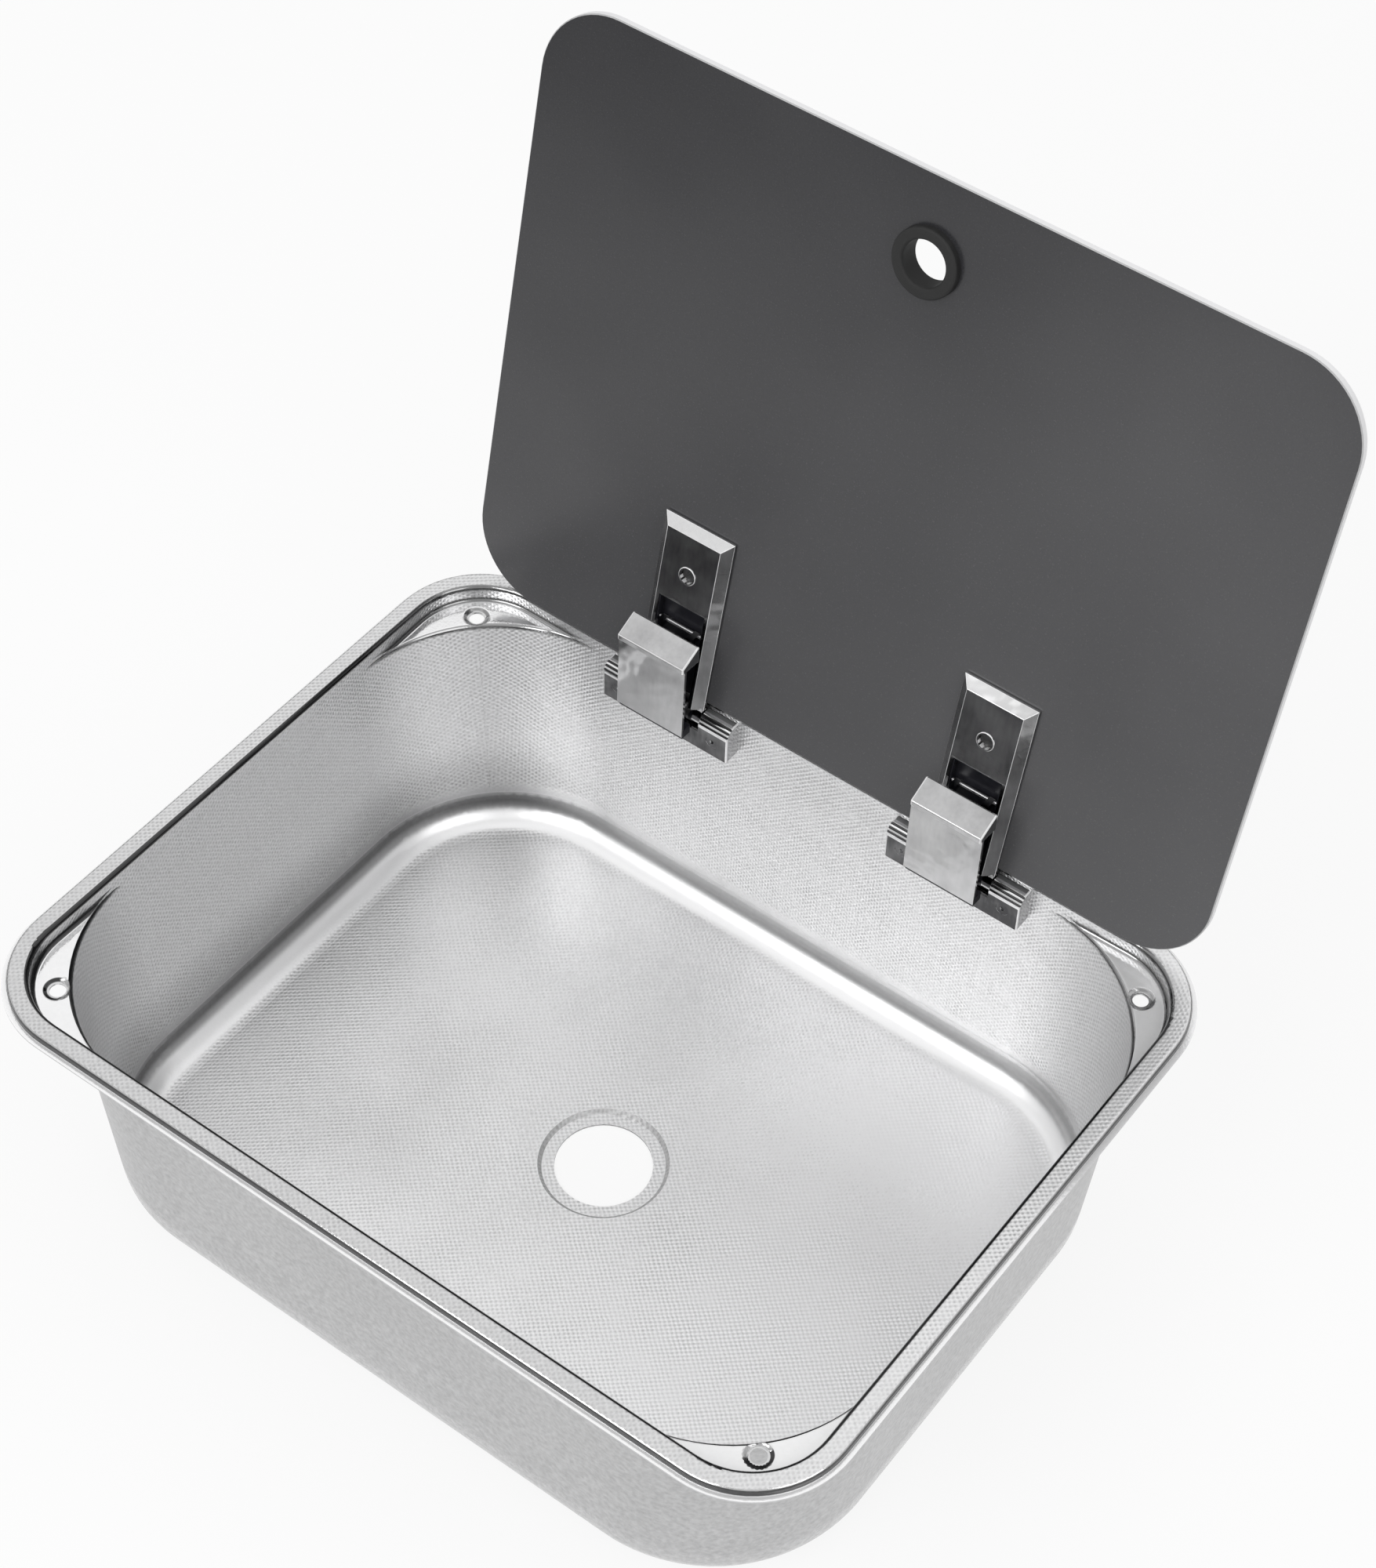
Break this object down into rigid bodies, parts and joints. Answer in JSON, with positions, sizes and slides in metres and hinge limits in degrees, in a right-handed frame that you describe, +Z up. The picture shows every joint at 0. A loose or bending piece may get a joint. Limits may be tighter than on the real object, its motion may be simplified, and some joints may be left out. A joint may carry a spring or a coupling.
{
  "type": "rv sink with glass lid",
  "caption": "Drop-in pressed steel sink for a camper worktop with corner screw shelves, a floor drain and a smoked glass lid on two stay hinges with a grommeted tap hole.",
  "frame": {"origin": "centre of the rim in the plane of the worktop, which is the underside of the rim's lip", "axes": "+X along the hinge side, +Y towards the hinge side, +Z up"},
  "size_m": [0.42, 0.3828, 0.4207],
  "materials": {
    "bowl_steel": "brushed, satin",
    "seal_foam": "matte",
    "smoked_glass": "polished, smoked nearly black",
    "grommet_rubber": "matte",
    "hinge_chrome": "polished",
    "pin_steel": "ground",
    "small_steel": "plain",
    "friction_plastic": "matte",
    "screw_steel": "plain",
    "pad_rubber": "matte",
    "black_plastic": "satin",
    "bush_plastic": "matte"
  },
  "bodies": {
    "sink": {"bowl": "bowl_steel", "rim_seal": "seal_foam", "left_hinge_base": "hinge_chrome", "left_hinge_lid_pin": "pin_steel", "left_hinge_stay_pin": "pin_steel", "left_hinge_plain_washers": "small_steel", "left_hinge_disc_springs": "small_steel", "left_hinge_friction_discs": "friction_plastic", "left_hinge_wall_screws": "screw_steel", "left_hinge_wall_washers": "small_steel", "left_hinge_wall_nuts": "small_steel", "right_hinge_base": "hinge_chrome", "right_hinge_lid_pin": "pin_steel", "right_hinge_stay_pin": "pin_steel", "right_hinge_plain_washers": "small_steel", "right_hinge_disc_springs": "small_steel", "right_hinge_friction_discs": "friction_plastic", "right_hinge_wall_screws": "screw_steel", "right_hinge_wall_washers": "small_steel", "right_hinge_wall_nuts": "small_steel"},
    "lid": {"glass_lid": "smoked_glass", "tap_grommet": "grommet_rubber", "left_hinge_lid_plate": "hinge_chrome", "left_hinge_glass_pad": "pad_rubber", "left_hinge_window_liner": "black_plastic", "left_hinge_lid_screw": "hinge_chrome", "left_hinge_glass_bush": "bush_plastic", "left_hinge_cap_nut": "hinge_chrome", "right_hinge_lid_plate": "hinge_chrome", "right_hinge_glass_pad": "pad_rubber", "right_hinge_window_liner": "black_plastic", "right_hinge_lid_screw": "hinge_chrome", "right_hinge_glass_bush": "bush_plastic", "right_hinge_cap_nut": "hinge_chrome"},
    "left_stay": {"left_stay_cover": "hinge_chrome", "left_stay_slide_pin": "pin_steel", "left_stay_core": "black_plastic"},
    "right_stay": {"right_stay_cover": "hinge_chrome", "right_stay_slide_pin": "pin_steel", "right_stay_core": "black_plastic"}
  },
  "joints": [
    {"name": "lid_hinge", "type": "hinge", "parent": "sink", "child": "lid", "pos_m": [0, 0.1493, -0.0031], "axis": [1, 0, 0], "range_deg": [0, 102.4]},
    {"name": "left_stay_pivot", "type": "hinge", "parent": "sink", "child": "left_stay", "pos_m": [-0.0782, 0.148, -0.0117], "axis": [1, 0, 0], "range_deg": [0, 92.4]},
    {"name": "right_stay_pivot", "type": "hinge", "parent": "sink", "child": "right_stay", "pos_m": [0.0782, 0.148, -0.0117], "axis": [1, 0, 0], "range_deg": [0, 92.4]}
  ],
  "couplings": [
    {"joint": "left_stay_pivot", "follows": "lid_hinge", "ratio": 0.901},
    {"joint": "right_stay_pivot", "follows": "lid_hinge", "ratio": 0.901}
  ]
}
